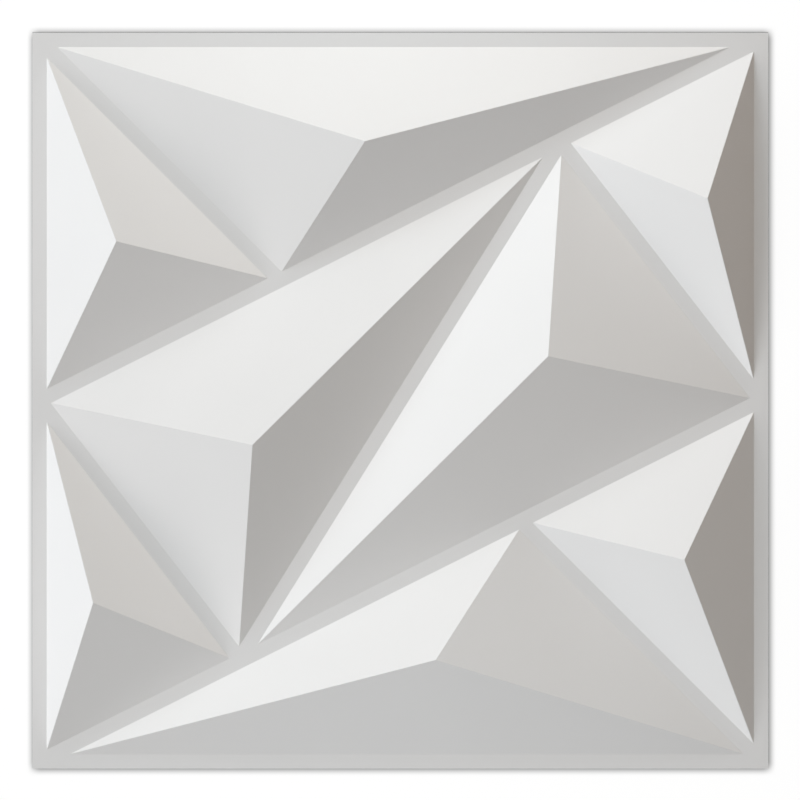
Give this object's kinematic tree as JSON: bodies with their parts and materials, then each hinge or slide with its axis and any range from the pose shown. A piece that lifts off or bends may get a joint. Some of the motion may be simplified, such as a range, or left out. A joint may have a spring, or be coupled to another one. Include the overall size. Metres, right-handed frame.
{
  "type": "3d wall panel tile",
  "caption": "Square white relief tile that lines a wall: flat strips frame low off-centre pyramids with triangular flanks, in a thin formed sheet that is hollow behind.",
  "frame": {"origin": "middle of the tile's back, on the plane of the wall", "axes": "+Z out of the wall through the relief; seen from the front, +X to the right and +Y up as in the picture"},
  "size_m": [0.5, 0.5, 0.031],
  "materials": {
    "white_vinyl": "matt, smooth as formed"
  },
  "bodies": {
    "root": {"wall_panel": "white_vinyl"}
  },
  "joints": []
}
